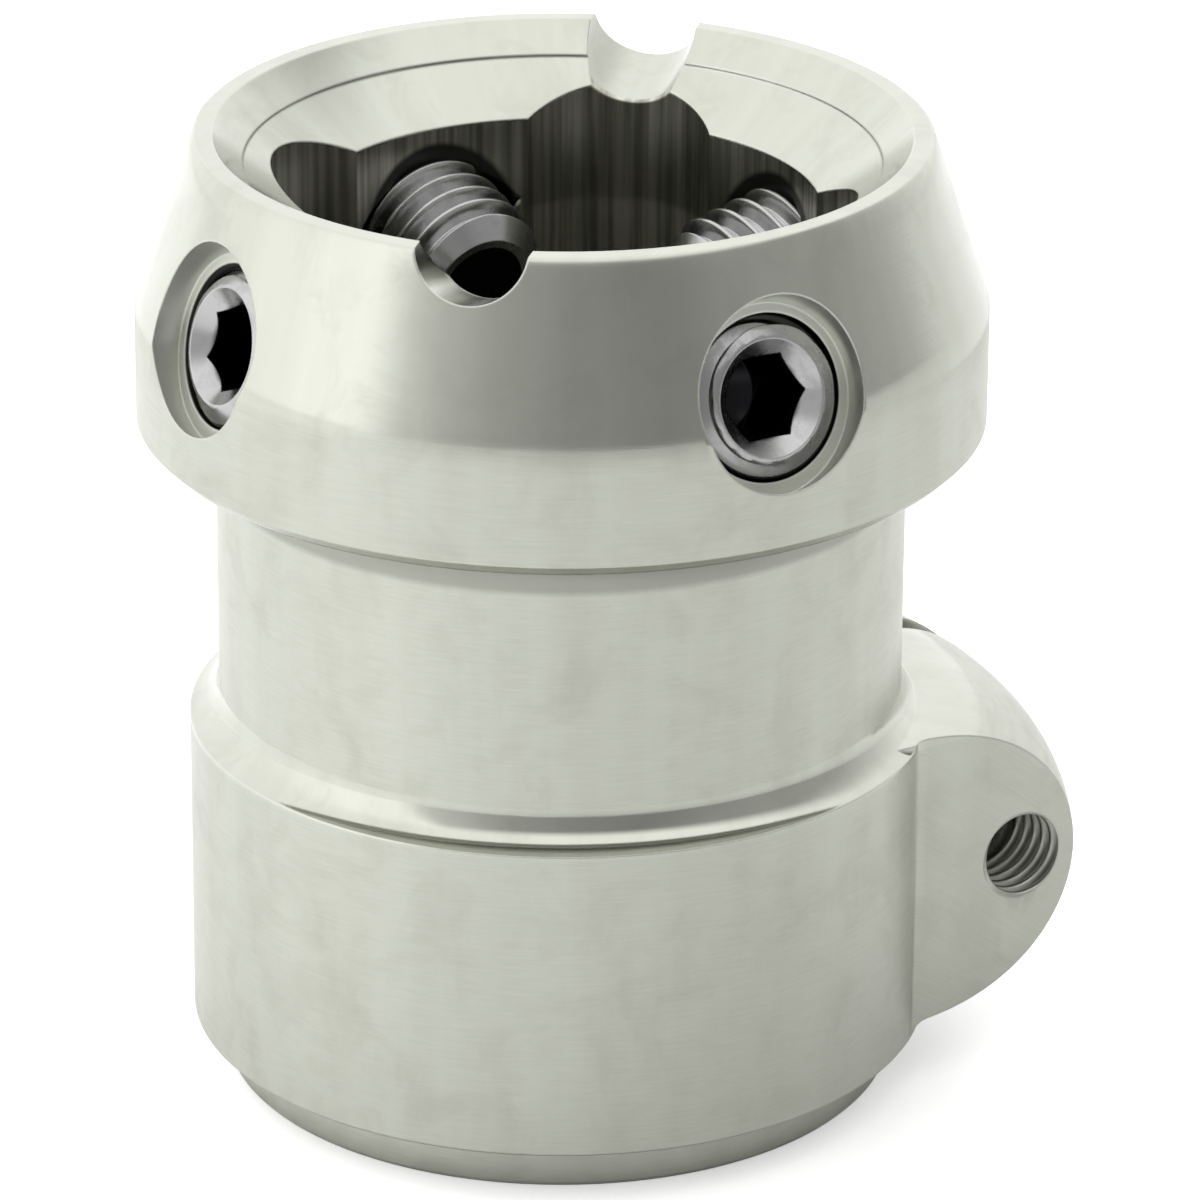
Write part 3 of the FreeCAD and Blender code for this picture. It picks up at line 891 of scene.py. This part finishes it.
def body_cutters(s, lug):
    """Everything that is taken out of the solid body."""
    cutters = [lathe("bore", inside_outline(s), s.segments)]
    for corner in range(4):
        turn = Matrix.Rotation(math.radians(45 + 90 * corner), 4, "Z")
        place = turn @ Matrix.Translation((s.lobe_centre, 0, 0))
        cutters.append(rod("lobe", s.lobe_radius, s.cavity_floor, HEIGHT, 128, place))
    for side in (1, -1):
        flat = Vector((side, side, 0)).normalized()
        outward = flat * math.cos(s.notch_tilt) + Vector((0, 0, math.sin(s.notch_tilt)))
        start = flat * s.notch_place + Vector((0, 0, HEIGHT))
        inward = s.lobe_centre - s.notch_place
        cutters.append(rod("notch", s.notch_radius, inward, HEIGHT, 96, along(outward, start)))
    half, reach = lug.slot_width / 2, 40 * MM
    saw = [(10 * MM, -half), (reach, -half), (reach, half), (10 * MM, half)]
    cutters.append(prism("saw", saw, -MM, lug.slot_top))
    relief = along((1, 0, 0), (10 * MM, 0, lug.slot_top))
    cutters.append(rod("relief", lug.relief_radius, 0, reach, 64, relief))
    return cutters


def screw_hole_cutters(s):
    """Counterbores, leads, clearance hole and tapped holes of all five screws."""
    screw, clamp = bpy.context.scene.adapter_set, bpy.context.scene.adapter_clamp
    wall = (screw.end_radius - s.cavity_radius) / math.cos(screw.tilt)
    lead = 0.5 * MM
    cutters = []
    for side in SET_SIDES:
        place = set_screw_place(side)
        steep = place @ Matrix.Rotation(-screw.lean, 4, "Y")
        bore = rod("counterbore", screw.counterbore, -10 * MM, 12 * MM, 160, steep)
        above = [(9 * MM, -9 * MM), (9 * MM, 9 * MM), (-9 * MM, 9 * MM), (-9 * MM, -9 * MM)]
        cutters.append(combine(bore, "INTERSECT", prism("above", above, -screw.floor, 20 * MM, place)))
        mouth = [(0, -screw.floor - lead), (screw.crest, -screw.floor - lead)]
        mouth += [(screw.crest + lead / 4, -screw.floor), (screw.crest + lead / 4, MM), (0, MM)]
        cutters.append(lathe("mouth", mouth, 128, place))
        inner = [(0, -wall - lead), (screw.crest + 2 * lead, -wall - lead), (screw.crest, -wall + lead)]
        cutters.append(lathe("inner_lead", inner + [(0, -wall + lead)], 128, place))
        cutters.append(thread_cutter("tap", screw, screw.pitch, 9 * screw.pitch, place))
    place = clamp_screw_place()
    split = clamp.seat
    head = [(0, -split + MM / 2), (clamp.clearance, -split + MM / 2), (clamp.clearance, 0)]
    head += [(clamp.counterbore, 0), (clamp.counterbore, 20 * MM), (0, 20 * MM)]
    cutters.append(lathe("head_hole", head, 128, place))
    first = -math.floor(split / clamp.pitch) * clamp.pitch
    cutters.append(thread_cutter("tap", clamp, first, 24 * clamp.pitch, place))
    return cutters


class BuildHousing(bpy.types.Operator):
    """Build the machined body with its tapped holes"""

    bl_idname = "adapter.build_housing"
    bl_label = "Build body"

    def execute(self, context):
        s, lug = context.scene.adapter_body, context.scene.adapter_lug
        made = lathe("machined_body", outside_outline(s), s.segments)
        combine(made, "UNION", lug_solid(s, lug))
        combine(made, "DIFFERENCE", *body_cutters(s, lug), *screw_hole_cutters(s))
        smooth(made)
        coat(made, material("body", body_metal))
        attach(made, "housing")
        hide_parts("housing")
        return {"FINISHED"}


# ---- screws ----------------------------------------------------------------------------
def hexagon(across):
    """Corners of a hexagon from its width across flats."""
    corner = across / math.sqrt(3)
    turn = [math.radians(60 * k) for k in range(6)]
    return [(corner * math.cos(a), corner * math.sin(a)) for a in turn]


def socket_cutters(top, across, depth, mouth, turn=0.0):
    """Hex socket, drilled foot and bevelled mouth that go down from a height."""
    flat = across / 2
    over = 0.5 * MM
    spin = Matrix.Rotation(math.radians(turn), 4, "Z")
    hexagonal = prism("hex", hexagon(across), top - depth, top + over, spin)
    foot = top - depth + 1e-6
    drill = lathe("drill", [(0, foot - flat * 0.6), (flat * 0.98, foot), (0, foot + over)], 48)
    bevel = mouth - flat
    countersink = [(0, top - bevel), (flat, top - bevel), (mouth + over, top + over), (0, top + over)]
    return [hexagonal, drill, lathe("countersink", countersink, 96)]


class BuildSetScrews(bpy.types.Operator):
    """Build the four set screws that close on the pyramid"""

    bl_idname = "adapter.build_set_screws"
    bl_label = "Build set screws"

    def execute(self, context):
        s = context.scene.adapter_set
        steel = material("steel", screw_steel)
        values = {
            "Length": s.total, "Pitch": s.pitch, "Crest Radius": s.crest, "Root Radius": s.root,
            "Top Radius": s.tip_radius, "Top Flare": (s.crest - s.tip_radius) / s.tip_height,
            "Point Radius": s.point, "Segments": 96, "Rows per Turn": 16, "Material": steel,
        }
        for side in SET_SIDES:
            node = "set_screw_" + side
            made = from_tree("threaded_" + node, shared("rod", threaded_rod_tree), values)
            turn = SOCKET_TURNS[side]
            combine(made, "DIFFERENCE", *socket_cutters(0, s.hex_size, s.hex_depth, s.mouth_radius, turn))
            made.data.transform(set_screw_place(side))
            smooth(made)
            coat(made, steel)
            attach(made, node)
            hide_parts(node)
        return {"FINISHED"}


def screw_head(c):
    """Socket cap head with a ring of fine grooves, its seat at z = 0."""
    ridge, bevel = 0.15 * MM, 0.4 * MM
    count = c.knurls * 6
    rows = [(0.0, 0), (bevel, 0)] + [(bevel + 0.3 * MM, 1), (c.head_height - bevel - 0.6 * MM, 1)]
    rows += [(c.head_height - bevel - 0.3 * MM, 0)]
    bm = bmesh.new()
    rings = []
    for z, grooved in rows:
        ring = []
        for k in range(count):
            turn = 2 * math.pi * k / count
            cut = ridge * (0.5 - 0.5 * math.cos(turn * c.knurls)) if grooved else 0
            r = c.head_radius - cut
            ring.append(bm.verts.new((r * math.cos(turn), r * math.sin(turn), z)))
        rings.append(ring)
    for z, r in ((c.head_height - bevel, c.head_radius), (c.head_height, c.head_radius - bevel)):
        turn = [2 * math.pi * k / count for k in range(count)]
        rings.append([bm.verts.new((r * math.cos(a), r * math.sin(a), z)) for a in turn])
    for low, high in zip(rings, rings[1:]):
        for k in range(count):
            bm.faces.new((low[k], low[(k + 1) % count], high[(k + 1) % count], high[k]))
    bm.faces.new(rings[0])
    bm.faces.new(rings[-1])
    return finish_bmesh(bm, "head")


class BuildClampScrew(bpy.types.Operator):
    """Build the cap screw that closes the split lug"""

    bl_idname = "adapter.build_clamp_screw"
    bl_label = "Build clamp screw"

    def execute(self, context):
        c = context.scene.adapter_clamp
        steel = material("steel", screw_steel)
        values = {
            "Length": c.total, "Pitch": c.pitch, "Crest Radius": c.crest, "Root Radius": c.root,
            "Top Radius": c.root, "Top Flare": 1.0, "Point Radius": c.root, "Segments": 96,
            "Rows per Turn": 16, "Material": steel,
        }
        made = from_tree("threaded_clamp_screw", shared("rod", threaded_rod_tree), values)
        combine(made, "UNION", rod("neck", c.crest, -2 * MM, MM / 2, 96), screw_head(c))
        mouth = c.hex_size / math.sqrt(3) + 0.2 * MM
        combine(made, "DIFFERENCE", *socket_cutters(c.head_height, c.hex_size, c.hex_depth, mouth))
        made.data.transform(clamp_screw_place())
        smooth(made)
        coat(made, steel)
        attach(made, "clamp_screw")
        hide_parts("clamp_screw")
        return {"FINISHED"}


# ---- stage -----------------------------------------------------------------------------
def softbox(name, place, target, size, power):
    """Square area light that faces a point and leaves no image of itself in the metal."""
    lamp = bpy.data.lights.new(name, "AREA")
    lamp.shape = "SQUARE"
    lamp.size = size
    lamp.energy = power
    made = bpy.data.objects.new(name, lamp)
    bpy.context.scene.collection.objects.link(made)
    made.visible_glossy = False
    made.location = place
    made.rotation_euler = (Vector(target) - Vector(place)).to_track_quat("-Z", "Y").to_euler()
    return made


def tent_world(s, right, back):
    """White light tent, open towards the viewer's right, as a procedural world."""
    world = bpy.data.worlds.new("light_tent")
    world.use_nodes = True
    world.node_tree.nodes.clear()
    t = Tree(world.node_tree)
    way = t.node("ShaderNodeTexCoord").outputs["Generated"]
    shares = []
    for axis in (right, back, Vector((0, 0, 1))):
        made = t.node("ShaderNodeVectorMath", {0: way}, operation="DOT_PRODUCT")
        made.inputs[1].default_value = axis
        shares.append(made.outputs["Value"])
    round_share = t.math("DIVIDE", t.math("ARCTAN2", shares[0], shares[1]), 2 * math.pi)
    round_share = t.math("ADD", round_share, 0.5)

    sides = bands(t, round_share, [(degrees / 360 + 0.5, level) for degrees, level in TENT_SIDES])
    lift = t.node(
        "ShaderNodeMapRange", {"Value": shares[2], "From Min": 0.62, "From Max": 0.86},
        interpolation_type="SMOOTHSTEP",
    )
    low = t.math("MULTIPLY", sides, t.math("SUBTRACT", 1.0, lift.outputs[0]))
    high = t.math("MULTIPLY", lift.outputs[0], s.zenith)
    strength = t.math("MULTIPLY", t.math("ADD", low, high), s.brightness)
    light = t.node("ShaderNodeBackground", {"Color": (1, 1, 1, 1), "Strength": strength})
    output = t.node("ShaderNodeOutputWorld")
    t.tree.links.new(light.outputs[0], output.inputs[0])
    return world


def pale_floor(s, right):
    """White floor with painted shade that darkens it a little towards the right in what it gives back to
    the metal, and a painted glow where it is seen directly.
    """
    made, t, shader, place = bare_material("pale_floor", 0.0)
    aside = t.node("ShaderNodeVectorMath", {0: place}, operation="DOT_PRODUCT")
    aside.inputs[1].default_value = right
    # painted shade: the floor darkens towards the right
    dim = t.math("MULTIPLY", step(t, aside.outputs["Value"], -60 * MM, 30 * MM), s.floor_dim)
    t.put(shader.inputs["Base Color"], mix_colour(t, dim, (*s.floor, 1), (0, 0, 0, 1)))
    shader.inputs["Roughness"].default_value = 0.3
    shader.inputs["IOR"].default_value = 1.6
    shader.inputs["Emission Color"].default_value = (1, 1, 1, 1)
    # painted glow: the floor lights itself where the camera sees it
    seen = t.node("ShaderNodeLightPath").outputs["Is Camera Ray"]
    t.put(shader.inputs["Emission Strength"], t.math("MULTIPLY", seen, s.floor_lift))
    return made


def studio_camera(s, right, back):
    """Camera that looks down on the part from the front."""
    lens = bpy.data.cameras.new("camera")
    lens.sensor_width = 36.0
    lens.lens = s.lens / MM
    lens.clip_start, lens.clip_end = 0.01, 20.0
    made = bpy.data.objects.new("camera", lens)
    bpy.context.scene.collection.objects.link(made)
    aim = right * s.aside + Vector((0, 0, s.height))
    sight = back * math.cos(s.elevation) + Vector((0, 0, math.sin(s.elevation)))
    made.location = aim + sight * s.distance
    made.rotation_mode = "QUATERNION"
    turn = Matrix.Rotation(s.roll, 3, "Z").to_quaternion()
    made.rotation_quaternion = (-sight).to_track_quat("-Z", "Y") @ turn
    return made


class BuildStage(bpy.types.Operator):
    """Set out the floor, the soft lights and the camera"""

    bl_idname = "adapter.build_stage"
    bl_label = "Build stage"

    def execute(self, context):
        s = context.scene.adapter_studio
        back = Vector((math.sin(s.azimuth), -math.cos(s.azimuth), 0))
        right = Vector((math.cos(s.azimuth), math.sin(s.azimuth), 0))
        bm = bmesh.new()
        bmesh.ops.create_circle(bm, cap_ends=True, radius=3.0, segments=64)
        floor = finish_bmesh(bm, "floor", Matrix.Translation((0, 0, -0.02 * MM)))
        floor.data.materials.append(pale_floor(s, right))

        middle = Vector((0, 0, HEIGHT / 2))
        key = middle - right * 0.45 - back * 0.35 + Vector((0, 0, 0.55))
        softbox("key_softbox", key, middle, s.key_size, s.key_power)
        context.scene.world = tent_world(s, right, back)
        context.scene.camera = studio_camera(s, right, back)
        context.scene.view_settings.view_transform = "Standard"
        return {"FINISHED"}


OPERATORS = (BuildHousing, BuildSetScrews, BuildClampScrew, BuildStage)


class AdapterPanel(bpy.types.Panel):
    """Sidebar panel with one button for each piece"""

    bl_idname = "VIEW3D_PT_adapter"
    bl_label = "Tube Clamp Adapter"
    bl_space_type = "VIEW_3D"
    bl_region_type = "UI"
    bl_category = "Adapter"

    def draw(self, context):
        for operator in OPERATORS:
            self.layout.operator(operator.bl_idname)


def register():
    for group_class in GROUPS.values():
        bpy.utils.register_class(group_class)
    for name, group_class in GROUPS.items():
        setattr(bpy.types.Scene, name, PointerProperty(type=group_class))
    for operator in OPERATORS:
        bpy.utils.register_class(operator)
    bpy.utils.register_class(AdapterPanel)


def unregister():
    bpy.utils.unregister_class(AdapterPanel)
    for operator in reversed(OPERATORS):
        bpy.utils.unregister_class(operator)
    for name, group_class in reversed(GROUPS.items()):
        delattr(bpy.types.Scene, name)
        bpy.utils.unregister_class(group_class)


def main():
    register()
    bpy.ops.adapter.build_stage()
    bpy.ops.adapter.build_housing()
    bpy.ops.adapter.build_set_screws()
    bpy.ops.adapter.build_clamp_screw()


if __name__ == "__main__":
    main()
